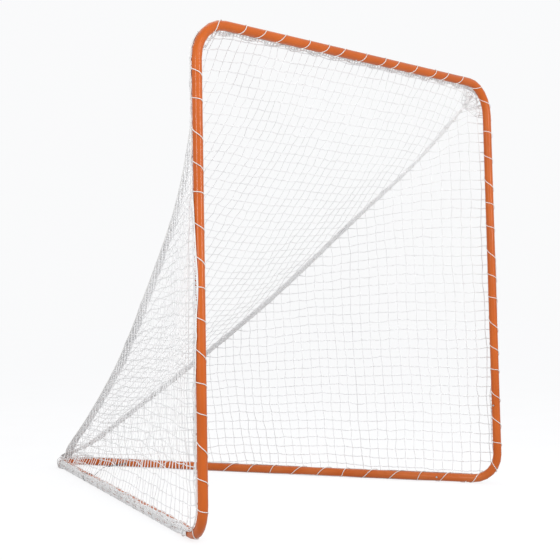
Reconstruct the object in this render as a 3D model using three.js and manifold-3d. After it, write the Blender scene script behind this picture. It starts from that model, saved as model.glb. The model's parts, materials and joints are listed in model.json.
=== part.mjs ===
// A free-standing lacrosse goal: a sectional steel tube frame with a square mouth and a V-shaped
// base that meets in a rounded point behind it, and a three-sided net laced all round the frame.
// Millimetres, +Z up, ground at z = 0. The mouth faces -Y, and +X is the right-hand post from the front.
import * as THREE from "three";
import { mergeVertices } from "three/addons/utils/BufferGeometryUtils.js";
import Module from "manifold-3d";

const wasm = await Module();
wasm.setup();

// Driving dimensions.
const POST_SPACING = 1866.9; // between post axes: a 1828.8 clear mouth and one tube
const CROSSBAR_HEIGHT = 1880; // crossbar axis above the ground
const BASE_DEPTH = 2225; // from the mouth to where the two straight rails would meet
const TUBE_RADIUS = 19.05;
const TUBE_WALL = 1.6;
const TOP_BEND = 145;
const FOOT_BEND = 118;
const REAR_BEND = 75;
const LACING_RADIUS = 1.5;
const ROPE_RADIUS = 2.5;
const SEAM_CORD_RADIUS = 3;
const CLEAR = 0.4; // gap between pieces that touch

// Slip joints between the tubes.
const POST_JOINT_HEIGHT = 330;
const FRONT_JOINT_SETBACK = 320; // from the foot corner, along the rail
const REAR_JOINT_SETBACK = 350; // from where the rails would meet, along the rail
const SPIGOT_LENGTH = 75;
const SPIGOT_RADIUS = TUBE_RADIUS - TUBE_WALL - CLEAR;
const SPIGOT_BORE = SPIGOT_RADIUS - TUBE_WALL - 0.5;
const SPIGOT_ROOT = 12; // length of the spigot that is formed from the parent tube's wall
const BUTTON_SETBACK = 35; // button axis from the joint line
const BUTTON_RADIUS = 4;
const BUTTON_FLANGE_RADIUS = 6.2;
const BUTTON_FLANGE_TOP = 13;
const BUTTON_TOP = 23.4; // from the tube axis, at rest
const BUTTON_HOLE_RADIUS = BUTTON_RADIUS + 1.5 * CLEAR;

// The lacing winds round the tube and the net's border rope in eight straight steps a turn.
const STEPS_PER_TURN = 8;
const LACING_PITCH = 125;
const LACING_TRACK = 22.5; // cord centre from the tube axis, at the corners of a turn
const LACING_LIFT = 7; // extra, where the turn passes over the border rope
const HALF_STEP = Math.PI / STEPS_PER_TURN;
const FLATTENED = 0.5; // how much the ground presses off the cord beneath a rail
const RAIL_HEIGHT = LACING_TRACK * Math.cos(HALF_STEP) + LACING_RADIUS - FLATTENED;
const ROPE_OFFSET = TUBE_RADIUS + CLEAR + ROPE_RADIUS;
const ROPE_ANGLE_RAIL = HALF_STEP; // from straight out, towards the top of the rail
const ROPE_ANGLE_POST = Math.PI / 4; // at the post's ends, from straight out, towards its back
const ROPE_PULL = (67 * Math.PI) / 180; // how far round the net pulls the rope forward on a post
const ROPE_PULL_HEIGHT = 900; // where it pulls the most
const ROPE_PULL_REACH = 550; // above and below there
const ROPE_PULL_STEPS = 16;
const ROPE_ANGLE_CROSSBAR = Math.PI / 2; // straight behind the crossbar
const ROPE_GAP = 8; // between the rope's two ends, behind the rear bend

// Net panels: thin sheets just outside the lacing.
const NET_OFFSET = 35;
const NET_THICKNESS = 2;
const NET_SEAM_GAP = 9;
const NET_END = 0.965; // the panels stop this far along, where the net is gathered
const NET_REAR_GAP = 60; // from there to where the rails would meet, along the ground
const NET_HEM_HEIGHT = 14; // side panels' lower edge, above the rail axis
const NET_COLUMNS = 10;
const NET_ROWS = 8;
const SIDE_PILLOW = 25;
const BACK_PILLOW = 45;

const TUBE_SIDES = 20;
const BEND_STEPS = 6;

const COLOUR = {
  powderCoat: { color: 0xd06a22, roughness: 0.42, metalness: 0.0 },
  steel: { color: 0x8d9094, roughness: 0.35, metalness: 1.0 },
  darkSteel: { color: 0x4a4b4f, roughness: 0.45, metalness: 1.0 },
  net: { color: 0xf1f1f0, roughness: 0.9, metalness: 0.0 },
  cord: { color: 0xf7f4ee, roughness: 0.85, metalness: 0.0 },
};

const X = new THREE.Vector3(1, 0, 0);
const Y = new THREE.Vector3(0, 1, 0);
const Z = new THREE.Vector3(0, 0, 1);
const at = (x, y, z) => new THREE.Vector3(x, y, z);
const along = (from, direction, distance) => from.clone().addScaledVector(direction, distance);

const goal = new THREE.Group();
const materials = Object.fromEntries(
  Object.entries(COLOUR).map(([name, look]) => [name, new THREE.MeshStandardMaterial(look)]),
);

function add(name, geometry, material) {
  const mesh = new THREE.Mesh(geometry, materials[material]);
  mesh.name = name;
  goal.add(mesh);
  return mesh;
}

// Booleans.
function toSolid(geometry) {
  const bare = new THREE.BufferGeometry();
  bare.setAttribute("position", geometry.getAttribute("position").clone());
  if (geometry.index) bare.setIndex(geometry.index.clone());
  const merged = mergeVertices(bare, 1e-3);
  return new wasm.Manifold(
    new wasm.Mesh({
      numProp: 3,
      vertProperties: new Float32Array(merged.attributes.position.array),
      triVerts: new Uint32Array(merged.index.array),
    }),
  );
}

function toGeometry(solid) {
  const mesh = solid.getMesh();
  const geometry = new THREE.BufferGeometry();
  geometry.setAttribute("position", new THREE.BufferAttribute(mesh.vertProperties, 3));
  geometry.setIndex(new THREE.BufferAttribute(mesh.triVerts, 1));
  return geometry;
}

const united = (...geometries) => toGeometry(geometries.map(toSolid).reduce((a, b) => a.add(b)));
const without = (geometry, ...cutters) =>
  toGeometry(cutters.map(toSolid).reduce((a, b) => a.subtract(b), toSolid(geometry)));

// A curve through a list of points, one point for each step of a sweep.
class Route extends THREE.Curve {
  constructor(points) {
    super();
    this.points = points;
  }
  getPoint(t) {
    const last = this.points.length - 1;
    const i = Math.min(Math.floor(t * last), last - 1);
    return this.points[i].clone().lerp(this.points[i + 1], t * last - i);
  }
  getPointAt(u) {
    return this.getPoint(u);
  }
  getTangentAt(u) {
    return this.getTangent(u);
  }
}

function ring(radius, sides) {
  return Array.from({ length: sides }, (_, i) => {
    const angle = (2 * Math.PI * (i + 0.5)) / sides;
    return new THREE.Vector2(radius * Math.cos(angle), radius * Math.sin(angle));
  });
}

function sweep(points, radius, sides, bore = 0) {
  const section = new THREE.Shape(ring(radius, sides));
  if (bore) section.holes.push(new THREE.Path(ring(bore, sides)));
  const route = new Route(points);
  return new THREE.ExtrudeGeometry(section, { steps: points.length - 1, extrudePath: route });
}

const tube = (points) => sweep(points, TUBE_RADIUS, TUBE_SIDES, TUBE_RADIUS - TUBE_WALL);

// The round bend that joins two straight runs at a corner.
function bend(before, corner, after, radius, steps = BEND_STEPS) {
  const back = before.clone().sub(corner).normalize();
  const ahead = after.clone().sub(corner).normalize();
  const half = back.angleTo(ahead) / 2;
  const middle = back.clone().add(ahead).normalize();
  const centre = along(corner, middle, radius / Math.sin(half));
  const sweepHalf = Math.PI / 2 - half;
  const side = ahead.clone().sub(back).normalize();
  return Array.from({ length: steps + 1 }, (_, i) => {
    const angle = sweepHalf * ((2 * i) / steps - 1);
    return along(along(centre, middle, -radius * Math.cos(angle)), side, radius * Math.sin(angle));
  });
}

// Turns a shape made along +Y, with X to its side, so that Y points along axis and X along side.
function turned(geometry, origin, axis, side) {
  const third = side.clone().cross(axis);
  const matrix = new THREE.Matrix4().makeBasis(side, axis, third).setPosition(origin);
  return geometry.applyMatrix4(matrix);
}

// Frame corners. side is -1 for the left half and 1 for the right half.
const foot = (side) => at((side * POST_SPACING) / 2, 0, RAIL_HEIGHT);
const shoulder = (side) => at((side * POST_SPACING) / 2, 0, CROSSBAR_HEIGHT);
const crossbarMiddle = at(0, 0, CROSSBAR_HEIGHT);
const meeting = at(0, BASE_DEPTH, RAIL_HEIGHT);
const railDirection = (side) => meeting.clone().sub(foot(side)).normalize();
const railOutward = (side) => railDirection(side).cross(Z).multiplyScalar(side).normalize();
const railLength = meeting.distanceTo(foot(1));
const onRail = (side, distance) => along(foot(side), railDirection(side), distance);
const REAR_TANGENT = REAR_BEND / (POST_SPACING / 2 / BASE_DEPTH);

const shoulderBend = (side) => bend(foot(side), shoulder(side), crossbarMiddle, TOP_BEND);
const footBend = (side) => bend(shoulder(side), foot(side), meeting, FOOT_BEND);
const rearBend = bend(foot(-1), meeting, foot(1), REAR_BEND, 2 * BEND_STEPS);

// Slip joints. inward is the way the spigot enters; out is the way the button points.
const joints = {
  crossbar: { line: crossbarMiddle, inward: X.clone().negate(), out: Z.clone().negate() },
};
for (const [hand, side] of [["left", -1], ["right", 1]]) {
  const inner = X.clone().multiplyScalar(-side);
  const railInner = railOutward(side).negate();
  joints[hand + "_post"] = { line: at(foot(side).x, 0, POST_JOINT_HEIGHT), inward: Z, out: inner };
  joints[hand + "_front_rail"] = {
    line: onRail(side, FRONT_JOINT_SETBACK),
    inward: railDirection(side).negate(),
    out: railInner,
  };
  joints[hand + "_rear_rail"] = {
    line: onRail(side, railLength - REAR_JOINT_SETBACK),
    inward: railDirection(side).negate(),
    out: railInner,
  };
}

const buttonAxis = (joint) => along(joint.line, joint.inward, BUTTON_SETBACK);

function buttonHole(joint) {
  const length = TUBE_RADIUS + BUTTON_TOP;
  const drill = new THREE.CylinderGeometry(BUTTON_HOLE_RADIUS, BUTTON_HOLE_RADIUS, length, 12);
  drill.translate(0, length / 2, 0);
  return turned(drill, buttonAxis(joint), joint.out, joint.inward);
}

// The reduced end of a tube, which slides into the next one. Lathe axis +Y is the way in.
function spigot(joint) {
  const root = TUBE_RADIUS - TUBE_WALL / 2;
  const profile = [
    [SPIGOT_BORE, -SPIGOT_ROOT],
    [root, -SPIGOT_ROOT],
    [root, -5 * CLEAR],
    [SPIGOT_RADIUS, -3 * CLEAR],
    [SPIGOT_RADIUS, SPIGOT_LENGTH - 2],
    [SPIGOT_RADIUS - 1, SPIGOT_LENGTH],
    [SPIGOT_BORE, SPIGOT_LENGTH],
    [SPIGOT_BORE, -SPIGOT_ROOT],
  ].map(([r, y]) => new THREE.Vector2(r, y));
  const turnedEnd = new THREE.LatheGeometry(profile, TUBE_SIDES);
  return turned(turnedEnd, joint.line, joint.inward, joint.out);
}

// A tube with any number of spigots, and sockets drilled for the next tubes' buttons.
function section(points, { spigots = [], sockets = [] }) {
  const body = united(tube(points), ...spigots.map(spigot));
  return without(body, ...[...spigots, ...sockets].map(buttonHole));
}

const setBack = (joint) => along(joint.line, joint.inward, -CLEAR);

function frameHalf(hand, side) {
  const post = joints[hand + "_post"];
  const front = joints[hand + "_front_rail"];
  const rear = joints[hand + "_rear_rail"];
  const male = side > 0;
  const top = male ? setBack(joints.crossbar) : joints.crossbar.line;
  const upper = section([post.line, ...shoulderBend(side), top], {
    spigots: male ? [joints.crossbar] : [],
    sockets: male ? [post] : [post, joints.crossbar],
  });
  add(hand + "_upper_tube", upper, "powderCoat");
  const lower = section([setBack(post), ...footBend(side), front.line], {
    spigots: [post],
    sockets: [front],
  });
  add(hand + "_foot_tube", lower, "powderCoat");
  const rail = section([setBack(front), rear.line], { spigots: [front], sockets: [rear] });
  add(hand + "_rail_tube", rail, "powderCoat");
}

function rearTube() {
  const rears = [joints.left_rear_rail, joints.right_rear_rail];
  const [left, right] = rears.map(setBack);
  add("rear_tube", section([left, ...rearBend, right], { spigots: rears }), "powderCoat");
}

// Snap button: a domed pin with a flange inside the spigot.
function button(name, joint) {
  const flangeBottom = BUTTON_FLANGE_TOP - 1.3;
  const profile = [
    [0, flangeBottom],
    [BUTTON_FLANGE_RADIUS, flangeBottom],
    [BUTTON_FLANGE_RADIUS, BUTTON_FLANGE_TOP],
    [BUTTON_RADIUS, BUTTON_FLANGE_TOP],
    [BUTTON_RADIUS, BUTTON_TOP - 1.6],
    [BUTTON_RADIUS * 0.7, BUTTON_TOP - 0.5],
    [0, BUTTON_TOP],
  ].map(([r, y]) => new THREE.Vector2(r, y));
  const pin = new THREE.LatheGeometry(profile, 12);
  add(name + "_snap_button", turned(pin, buttonAxis(joint), joint.out, joint.inward), "steel");
}

// Leaf spring: a strip folded into a V, one leg on the far wall and the other under the button.
function leafSpring(name, joint) {
  const width = 7;
  const half = 0.4;
  const middle = [
    [8, -13.3],
    [-36, -13.3],
    [-40, -11.5],
    [-40, -8],
    [-8, 9.5],
    [6, 10.9],
  ].map(([a, r]) => new THREE.Vector2(a, r));
  const offset = (i, distance) => {
    const before = middle[Math.max(i - 1, 0)];
    const after = middle[Math.min(i + 1, middle.length - 1)];
    const way = after.clone().sub(before).normalize();
    return new THREE.Vector2(middle[i].x - way.y * distance, middle[i].y + way.x * distance);
  };
  const outline = [
    ...middle.map((_, i) => offset(i, half)),
    ...middle.map((_, i) => offset(middle.length - 1 - i, -half)),
  ];
  const strip = new THREE.ExtrudeGeometry(new THREE.Shape(outline), {
    depth: width,
    bevelEnabled: false,
  });
  strip.translate(0, 0, -width / 2);
  add(name + "_button_spring", turned(strip, buttonAxis(joint), joint.out, joint.inward), "steel");
}

// Stretches of the frame that carry lacing. Each gives the tube axis, the way out of the goal and
// the way round from there, by distance from the stretch's start.
function stretch(points, roundWay) {
  const steps = points.slice(1).map((p, i) => p.distanceTo(points[i]));
  const length = steps.reduce((a, b) => a + b, 0);
  const place = (distance) => {
    let i = 0;
    let left = distance;
    while (i < steps.length - 1 && left > steps[i]) left -= steps[i++];
    const way = points[i + 1].clone().sub(points[i]).normalize();
    return { point: along(points[i], way, left), round: roundWay, out: way.cross(roundWay) };
  };
  return { length, place };
}

const offAxis = ({ point, out, round }, angle, radius) =>
  along(along(point, out, radius * Math.cos(angle)), round, radius * Math.sin(angle));

// Lacing: turns at an even pitch, lifted where they pass over the border rope.
function lacing(run, ropeAngle) {
  const step = LACING_PITCH / STEPS_PER_TURN;
  const count = Math.floor(run.length / step);
  const margin = (run.length - count * step) / 2;
  return Array.from({ length: count + 1 }, (_, i) => {
    const distance = margin + i * step;
    const rope = ropeAngle(distance / run.length);
    const angle = ROPE_ANGLE_RAIL * (run.flat ? 1 : 0) + 2 * HALF_STEP * i;
    const over = Math.max(0, Math.cos(angle - rope));
    return offAxis(run.place(distance), angle, LACING_TRACK + LACING_LIFT * over * over);
  });
}

const cordSweep = (points) => sweep(points, LACING_RADIUS, 4);
const LACING_END_GAP = 22; // from a lacing cord's end to the bend, the next cord or the rear tie

// Rear tie: a cord loop round the right rail holds a steel hook, which lies slack beside the rail, and
// a cable runs from the hook's far end across the base to a loop round the left rail.
const TIE_SETBACK = { left: 1660, right: 1965 }; // of the two loops, from the foot corners
const TIE_CORD_RADIUS = 1.25;
const TIE_WIRE_RADIUS = 2.6;
const TIE_EYE_RADIUS = 12;
const TIE_LINK_LENGTH = 80;
const TIE_LINK_WIDTH = 24;
const TIE_LINK_TURN = (8 * Math.PI) / 180; // inwards, from along the rail
const TIE_LINK_DROP = 17; // of the link's far end, below the eye
const TIE_SLACK = 8; // how far the cord loop stands off the rail where it holds the hook
const TIE_CABLE_LEAD = 40; // how far the cable would keep the link's direction
const TIE_CABLE_SAG = 4;
const TIE_CABLE_STEPS = 20;

function ropeAngleOnPost(height) {
  const away = Math.min(1, Math.abs(height - ROPE_PULL_HEIGHT) / ROPE_PULL_REACH);
  return ROPE_ANGLE_POST - (ROPE_PULL * (1 + Math.cos(Math.PI * away))) / 2;
}

function laceFrame() {
  const low = RAIL_HEIGHT + FOOT_BEND + LACING_END_GAP;
  const high = CROSSBAR_HEIGHT - TOP_BEND - LACING_END_GAP;
  const ground = new THREE.BoxGeometry(3 * POST_SPACING, 3 * BASE_DEPTH, 20).translate(0, 0, -10);
  for (const [hand, side] of [["left", -1], ["right", 1]]) {
    const x = foot(side).x;
    const rising = [at(x, 0, low), at(x, 0, high)];
    const post = stretch(side < 0 ? rising : rising.reverse(), Y);
    const height = (share) => low + (high - low) * (side < 0 ? share : 1 - share);
    const onPost = lacing(post, (share) => ropeAngleOnPost(height(share)));
    add(hand + "_post_lacing", cordSweep(onPost), "cord");

    const front = onRail(side, FOOT_BEND + LACING_END_GAP);
    const rear = onRail(side, TIE_SETBACK[hand] - LACING_END_GAP);
    const rail = stretch(side < 0 ? [rear, front] : [front, rear], Z);
    rail.flat = true;
    const coil = cordSweep(lacing(rail, () => ROPE_ANGLE_RAIL));
    add(hand + "_rail_lacing", without(coil, ground), "cord");
  }
  const overTop = stretch([...shoulderBend(-1), ...shoulderBend(1).reverse()], Y);
  const cornerShare = (TOP_BEND * Math.PI) / 2 / overTop.length;
  const ropeAngle = (share) => {
    const fromEnd = Math.min(share, 1 - share) / cornerShare;
    const blend = Math.min(1, fromEnd);
    return ROPE_ANGLE_POST + (ROPE_ANGLE_CROSSBAR - ROPE_ANGLE_POST) * blend;
  };
  add("crossbar_lacing", cordSweep(lacing(overTop, ropeAngle)), "cord");
}

// Border rope: the net's thick edge, which lies against the frame all the way round.
function borderRope() {
  const beside = (point, out, round, angle) => offAxis({ point, out, round }, angle, ROPE_OFFSET);
  const half = (side) => {
    const sideways = X.clone().multiplyScalar(side);
    const outward = railOutward(side);
    const railEnd = onRail(side, railLength - REAR_TANGENT);
    const rearHalf = side < 0 ? rearBend.slice(0, BEND_STEPS + 1) : rearBend.slice(BEND_STEPS).reverse();
    const rear = rearHalf.map((p, i) => {
      const turn = (i / BEND_STEPS) * (Math.PI / 2 - Math.atan(POST_SPACING / 2 / BASE_DEPTH));
      const out = outward.clone().applyAxisAngle(Z, side * turn);
      return beside(p, out, Z, ROPE_ANGLE_RAIL);
    });
    rear[BEND_STEPS].x += (side * ROPE_GAP) / 2;
    const footRound = footBend(side);
    const bottom = footRound.map((p, i) => {
      const share = i / BEND_STEPS;
      const turn = (share * Math.PI) / 2;
      const round = along(railDirection(side).multiplyScalar(Math.cos(turn)), Z, Math.sin(turn));
      return beside(p, outward, round, ROPE_ANGLE_POST + (ROPE_ANGLE_RAIL - ROPE_ANGLE_POST) * share);
    });
    const post = Array.from({ length: ROPE_PULL_STEPS + 1 }, (_, i) => {
      const height = ROPE_PULL_HEIGHT + ROPE_PULL_REACH * ((2 * i) / ROPE_PULL_STEPS - 1);
      return beside(at(foot(side).x, 0, height), sideways, Y, ropeAngleOnPost(height));
    });
    const top = shoulderBend(side).map((p, i) => {
      const share = i / BEND_STEPS;
      const turn = (share * Math.PI) / 2;
      const out = along(sideways.clone().multiplyScalar(Math.cos(turn)), Z, Math.sin(turn));
      const angle = ROPE_ANGLE_POST + (ROPE_ANGLE_CROSSBAR - ROPE_ANGLE_POST) * share;
      return beside(p, out, Y, angle);
    });
    const railStart = beside(railEnd, outward, Z, ROPE_ANGLE_RAIL);
    return [...rear.reverse(), railStart, ...bottom.reverse(), ...post, ...top];
  };
  const left = half(-1);
  const right = half(1).reverse();
  const points = [...left, ...right].filter((p, i, all) => !i || p.distanceTo(all[i - 1]) > 1);
  add("net_border_rope", sweep(points, ROPE_RADIUS, 8), "cord");
}

// Seams: each runs from behind a top corner down to the rear of the base, sagging with the net.
function seamCurve(side) {
  const corner = TOP_BEND * (1 - Math.SQRT1_2);
  const points = [
    [POST_SPACING / 2 - corner, NET_OFFSET, CROSSBAR_HEIGHT - corner],
    [742, 250, 1543],
    [579, 540, 1248],
    [426, 930, 894],
    [276, 1320, 582],
    [155, 1710, 308],
    [83, 1990, 124],
    [16, 2108, 66],
  ];
  return new THREE.CatmullRomCurve3(points.map(([x, y, z]) => at(side * x, y, z)));
}

const seams = { left: seamCurve(-1), right: seamCurve(1) };

// A closed sheet of even thickness round a grid of points.
function sheet(grid) {
  const rows = grid.length;
  const columns = grid[0].length;
  const clampRow = (i) => grid[Math.min(Math.max(i, 0), rows - 1)];
  const get = (i, j) => clampRow(i)[Math.min(Math.max(j, 0), columns - 1)];
  const faces = [-1, 1].map((way) =>
    grid.map((row, i) =>
      row.map((p, j) => {
        const down = get(i + 1, j).clone().sub(get(i - 1, j));
        const over = get(i, j + 1).clone().sub(get(i, j - 1));
        return along(p, down.cross(over).normalize(), (way * NET_THICKNESS) / 2);
      }),
    ),
  );
  const position = [];
  const quad = (a, b, c, d) => [a, b, c, a, c, d].forEach((p) => position.push(p.x, p.y, p.z));
  const [under, over] = faces;
  for (let i = 0; i < rows - 1; i++)
    for (let j = 0; j < columns - 1; j++) {
      quad(over[i][j], over[i + 1][j], over[i + 1][j + 1], over[i][j + 1]);
      quad(under[i][j], under[i][j + 1], under[i + 1][j + 1], under[i + 1][j]);
    }
  const rim = [];
  for (let j = 0; j < columns - 1; j++) rim.push([0, j]);
  for (let i = 0; i < rows - 1; i++) rim.push([i, columns - 1]);
  for (let j = columns - 1; j > 0; j--) rim.push([rows - 1, j]);
  for (let i = rows - 1; i > 0; i--) rim.push([i, 0]);
  rim.forEach(([i, j], k) => {
    const [m, n] = rim[(k + 1) % rim.length];
    quad(over[i][j], over[m][n], under[m][n], under[i][j]);
  });
  const geometry = new THREE.BufferGeometry();
  geometry.setAttribute("position", new THREE.Float32BufferAttribute(position, 3));
  return geometry;
}

// Where the net meets the post, from the rail's outer side at the foot to the post's back at the top.
function besidePost(side, height) {
  const share = Math.min(1, height / (CROSSBAR_HEIGHT - TOP_BEND));
  const start = Math.atan2(railOutward(side).y, railOutward(side).x * side);
  const angle = start + (Math.PI / 2 - start) * share;
  return at(foot(side).x + side * NET_OFFSET * Math.cos(angle), NET_OFFSET * Math.sin(angle), height);
}

function sidePanel(side, seam) {
  const outward = railOutward(side);
  const hem = at(0, 0, NET_HEM_HEIGHT);
  const run = railLength - NET_REAR_GAP;
  const ground = (u) => along(onRail(side, u * run), outward, NET_OFFSET).add(hem);
  const seamStart = seam.getPoint(0);
  const grid = [];
  for (let i = 0; i <= NET_COLUMNS; i++) {
    const u = (NET_END * i) / NET_COLUMNS;
    const low = ground(u);
    const high = seam.getPoint(u);
    const reach = 1 - NET_SEAM_GAP / high.distanceTo(low);
    grid.push(
      Array.from({ length: NET_ROWS + 1 }, (_, j) => {
        const v = (reach * j) / NET_ROWS;
        const height = low.z + (seamStart.z - low.z) * v;
        const hugging = besidePost(side, height).sub(ground(0).lerp(seamStart, v));
        const fade = Math.pow(1 - u, 4) * (1 - Math.pow(v, 6));
        const pillow = SIDE_PILLOW * 16 * u * (1 - u) * v * (1 - v);
        return along(low.clone().lerp(high, v), hugging, fade).addScaledVector(outward, -pillow);
      }),
    );
  }
  return side < 0 ? grid : grid.reverse();
}

function backPanel() {
  const grid = [];
  for (let i = 0; i <= NET_COLUMNS; i++) {
    const u = (NET_END * i) / NET_COLUMNS;
    const [left, right] = [seams.left.getPoint(u), seams.right.getPoint(u)];
    const inset = NET_SEAM_GAP / left.distanceTo(right);
    grid.push(
      Array.from({ length: NET_ROWS + 1 }, (_, j) => {
        const v = inset + ((1 - 2 * inset) * j) / NET_ROWS;
        const crown = TOP_BEND * (1 - Math.SQRT1_2) * (1 - Math.pow(Math.abs(2 * v - 1), 8));
        const sag = BACK_PILLOW * 16 * u * (1 - u) * v * (1 - v);
        return left.clone().lerp(right, v).addScaledVector(Z, crown * Math.pow(1 - u, 4) - sag);
      }),
    );
  }
  return grid;
}

function loopRoundRail(side, distance, slack, steps, advance) {
  const inward = railOutward(side).negate();
  const centre = onRail(side, distance);
  const snug = TUBE_RADIUS + 2 * CLEAR + TIE_CORD_RADIUS;
  return Array.from({ length: steps + 1 }, (_, i) => {
    const angle = (2 * Math.PI * i) / steps;
    const overRope = Math.max(0, Math.cos(angle - Math.PI + ROPE_ANGLE_RAIL));
    const radius = snug + LACING_LIFT * overRope ** 2 + slack * Math.max(0, Math.cos(angle)) ** 4;
    const point = offAxis({ point: centre, out: inward, round: Z }, angle, radius);
    point.z = Math.max(point.z, TIE_CORD_RADIUS + 0.05);
    return along(point, railDirection(side), (advance * i) / steps);
  });
}

function rearTie() {
  const cordLoop = loopRoundRail(1, TIE_SETBACK.right, TIE_SLACK, 16, 6);
  add("tie_cord_loop", sweep(cordLoop, TIE_CORD_RADIUS, 6), "cord");

  const leftLoop = loopRoundRail(-1, TIE_SETBACK.left, 0, 16, 6);
  const wireTrack = TUBE_RADIUS + CLEAR + TIE_WIRE_RADIUS;
  const eyeCentre = along(onRail(1, TIE_SETBACK.right), railOutward(1), -wireTrack - TIE_EYE_RADIUS);
  const level = railDirection(1).applyAxisAngle(Z, TIE_LINK_TURN);
  const hookLength = TIE_EYE_RADIUS + TIE_LINK_LENGTH;
  const span = along(level.clone().multiplyScalar(hookLength), Z, -TIE_LINK_DROP).normalize();
  const across = Z.clone().cross(level);
  const oval = (centre, length, width) =>
    Array.from({ length: 20 }, (_, i) => {
      const angle = (2 * Math.PI * i) / 19.99;
      const reach = (Math.cos(angle) * length) / 2;
      return along(along(centre, span, reach), across, (Math.sin(angle) * width) / 2);
    });
  const linkCentre = along(eyeCentre, span, TIE_EYE_RADIUS + TIE_LINK_LENGTH / 2);
  const hook = united(
    sweep(oval(eyeCentre, 2 * TIE_EYE_RADIUS, 2 * TIE_EYE_RADIUS), TIE_WIRE_RADIUS, 8),
    sweep(oval(linkCentre, TIE_LINK_LENGTH, TIE_LINK_WIDTH), TIE_WIRE_RADIUS, 8),
  );
  add("tie_hook", hook, "darkSteel");

  const bar = along(linkCentre, span, TIE_LINK_LENGTH / 2);
  const clear = TIE_WIRE_RADIUS + TIE_CORD_RADIUS + 2 * CLEAR;
  const overBar = [
    [-clear, -TIE_CORD_RADIUS],
    [-clear, 0],
    [-clear * 0.7, clear * 0.7],
    [0, clear],
    [clear * 0.7, clear * 0.7],
  ].map(([reach, rise]) => along(bar, span, reach).addScaledVector(Z, rise));
  const from = overBar.at(-1);
  const slack = new THREE.QuadraticBezierCurve3(from, along(from, level, TIE_CABLE_LEAD), leftLoop[0]);
  const hanging = Array.from({ length: TIE_CABLE_STEPS - 1 }, (_, i) => {
    const share = (i + 1) / TIE_CABLE_STEPS;
    return slack.getPoint(share).addScaledVector(Z, -4 * TIE_CABLE_SAG * share * (1 - share));
  });
  add("tie_cable", sweep([...overBar, ...hanging, ...leftLoop], TIE_CORD_RADIUS, 6), "darkSteel");
}

// Assembly.
frameHalf("left", -1);
frameHalf("right", 1);
rearTube();
for (const [name, joint] of Object.entries(joints)) {
  button(name, joint);
  leafSpring(name, joint);
}
laceFrame();
borderRope();
for (const [hand, curve] of Object.entries(seams)) {
  const cord = curve.getPoints(24);
  add(hand + "_seam_cord", sweep(cord, SEAM_CORD_RADIUS, 6), "cord");
}
add("left_side_net", sheet(sidePanel(-1, seams.left)), "net");
add("right_side_net", sheet(sidePanel(1, seams.right)), "net");
add("back_net", sheet(backPanel()), "net");
rearTie();

// The origin is on the ground under the middle of the whole goal.
const box = new THREE.Box3().setFromObject(goal);
goal.position.y = -(box.min.y + box.max.y) / 2;

export default goal;
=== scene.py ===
import json
import math

import bmesh
import bpy
import numpy as np
from mathutils import Matrix, Vector


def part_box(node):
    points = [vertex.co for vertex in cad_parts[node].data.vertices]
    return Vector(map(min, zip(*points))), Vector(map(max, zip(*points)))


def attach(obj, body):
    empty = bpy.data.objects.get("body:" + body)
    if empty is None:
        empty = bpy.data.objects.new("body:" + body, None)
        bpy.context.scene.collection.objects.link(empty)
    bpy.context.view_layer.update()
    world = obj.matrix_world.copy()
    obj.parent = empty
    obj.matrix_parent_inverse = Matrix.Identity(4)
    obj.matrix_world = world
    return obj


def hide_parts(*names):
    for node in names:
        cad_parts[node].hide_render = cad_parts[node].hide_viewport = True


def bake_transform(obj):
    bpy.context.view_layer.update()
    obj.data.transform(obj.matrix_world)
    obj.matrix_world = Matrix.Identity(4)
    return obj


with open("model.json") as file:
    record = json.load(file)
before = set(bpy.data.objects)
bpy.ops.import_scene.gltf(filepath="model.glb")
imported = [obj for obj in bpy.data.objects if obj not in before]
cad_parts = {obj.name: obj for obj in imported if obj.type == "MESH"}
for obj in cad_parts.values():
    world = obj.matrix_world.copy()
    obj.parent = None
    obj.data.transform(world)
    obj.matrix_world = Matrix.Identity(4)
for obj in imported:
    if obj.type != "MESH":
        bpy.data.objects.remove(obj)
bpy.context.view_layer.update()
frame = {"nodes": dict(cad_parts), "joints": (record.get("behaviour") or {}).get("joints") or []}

# Sizes in metres. TUBE, LACING, ROPE and TWINE are radii.
TUBE = 0.01905
TOP_BEND = 0.145
FOOT_BEND = 0.118
REAR_BEND = 0.075
BUTTON_MIDDLE = 0.01755  # from the tube axis
LACING = 0.0015
LACING_PITCH = 0.125
LACING_GAP = 0.0003  # between the cord and the tube
LACING_SIDES = 8
TURN_STEPS = 36
POST_PITCH = 0.112
POST_LEAD = 0.45  # how unevenly a turn climbs a post: least where it crosses the front
LEFT_FRONT, RIGHT_FRONT = math.radians(-50), math.radians(-147)  # where a post's turns climb least
LACE_END = 0.03  # how far before the top bend a post's cord ends, behind the post
RAIL_LIFT = 0.03  # keeps the left rail's turns off its snap buttons
LACE_LIFT = 0.037  # how far up the left post its turns start
BAR_LEAD_IN = 0.08  # before the crossbar's first turn, with its turns drawn closer by as much
ROPE = 0.0025
TWINE = 0.0018
TWINE_SIDES = 4
MESH = 0.0445
NET_OFFSET = 0.035
RAIL_ROPE_ANGLE = math.radians(22.5)
POST_ROPE_ANGLE = math.radians(45)
BAR_ROPE_ANGLE = math.radians(90)
ROPE_PULL = math.radians(67)  # how far round the net pulls the rope forward on a post
ROPE_PULL_HEIGHT = 0.900
ROPE_PULL_REACH = 0.550
NET_LEAVES = math.radians(22.8)  # where a side net that wraps its post leaves it, along the rail
SEAM = [
    (0.8910, 0.035, 1.8375),
    (0.742, 0.250, 1.543),
    (0.579, 0.540, 1.248),
    (0.426, 0.930, 0.894),
    (0.276, 1.320, 0.582),
    (0.155, 1.710, 0.308),
    (0.083, 1.990, 0.124),
    (0.016, 2.108, 0.066),
]
SEAM_TAIL = [(0.013, 2.130, 0.046), (0.013, 2.137, 0.024), (0.014, 2.128, 0.006)]
SLEEVE_WALL = 0.0024

rng = np.random.default_rng(12)


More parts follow.
